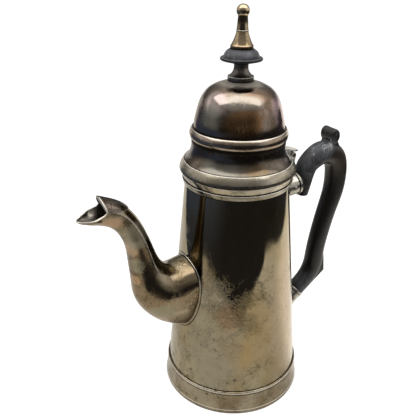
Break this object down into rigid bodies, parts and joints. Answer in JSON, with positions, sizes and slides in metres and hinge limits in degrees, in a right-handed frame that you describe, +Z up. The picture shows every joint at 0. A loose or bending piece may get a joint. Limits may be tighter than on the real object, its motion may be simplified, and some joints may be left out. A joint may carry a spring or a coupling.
{
  "type": "coffee pot",
  "caption": "Tall tapered plated coffee pot with a swan-neck spout, a dark C-scroll handle and a domed, hinged lid topped by a turned knob on a disc.",
  "frame": {"origin": "centre of the foot's underside, on the table", "axes": "+Z up along the body's axis, +X towards the handle and the hinge, -X towards the spout, +Y completes the right-handed set"},
  "size_m": [0.2031, 0.1, 0.2686],
  "materials": {
    "body_silver": "silver plate on brass, tarnished and speckled, mirror polish",
    "spout_silver": "silver plate on brass, tarnished, mirror polish",
    "lid_silver": "silver plate on brass, heavily tarnished, brown and violet",
    "moulding_silver": "silver plate on brass, rubbed bright",
    "foot_silver": "silver plate on brass, tarnished, brown along the lower edge",
    "socket_silver": "silver plate on brass, worn",
    "hinge_silver": "silver plate on brass, worn",
    "rivet_silver": "silver plate on brass",
    "base_silver": "dull silver plate, darker than the outside",
    "worn_brass": "plating worn through to the yellow metal",
    "fastener_metal": "plain turned metal",
    "black_composition": "black composition, rubbed grey on the top of the arm",
    "disc_composition": "dark composition, rubbed grey at the edge"
  },
  "bodies": {
    "root": {"body_shell": "body_silver", "base_plate": "base_silver", "foot_band": "foot_silver", "lower_moulding": "moulding_silver", "upper_moulding": "moulding_silver", "spout": "spout_silver", "spout_hood": "spout_silver", "spout_flange": "spout_silver", "upper_socket": "socket_silver", "lower_socket": "socket_silver", "handle": "black_composition", "upper_handle_pin": "rivet_silver", "lower_handle_pin": "rivet_silver", "hinge_body_leaf": "hinge_silver", "hinge_pin": "fastener_metal"},
    "lid": {"hinge_lid_leaf": "hinge_silver", "lid_rim": "moulding_silver", "lid_bezel": "base_silver", "lid_cove": "lid_silver", "lid_bead": "moulding_silver", "lid_dome": "lid_silver", "finial_foot": "lid_silver", "finial_disc": "disc_composition", "finial_spire": "worn_brass", "finial_stud": "fastener_metal", "finial_washer": "fastener_metal", "finial_nut": "fastener_metal"}
  },
  "joints": [
    {"name": "lid_hinge", "type": "hinge", "parent": "root", "child": "lid", "pos_m": [0.0412, 0, 0.1708], "axis": [0, 1, 0], "range_deg": [0, 85]}
  ]
}
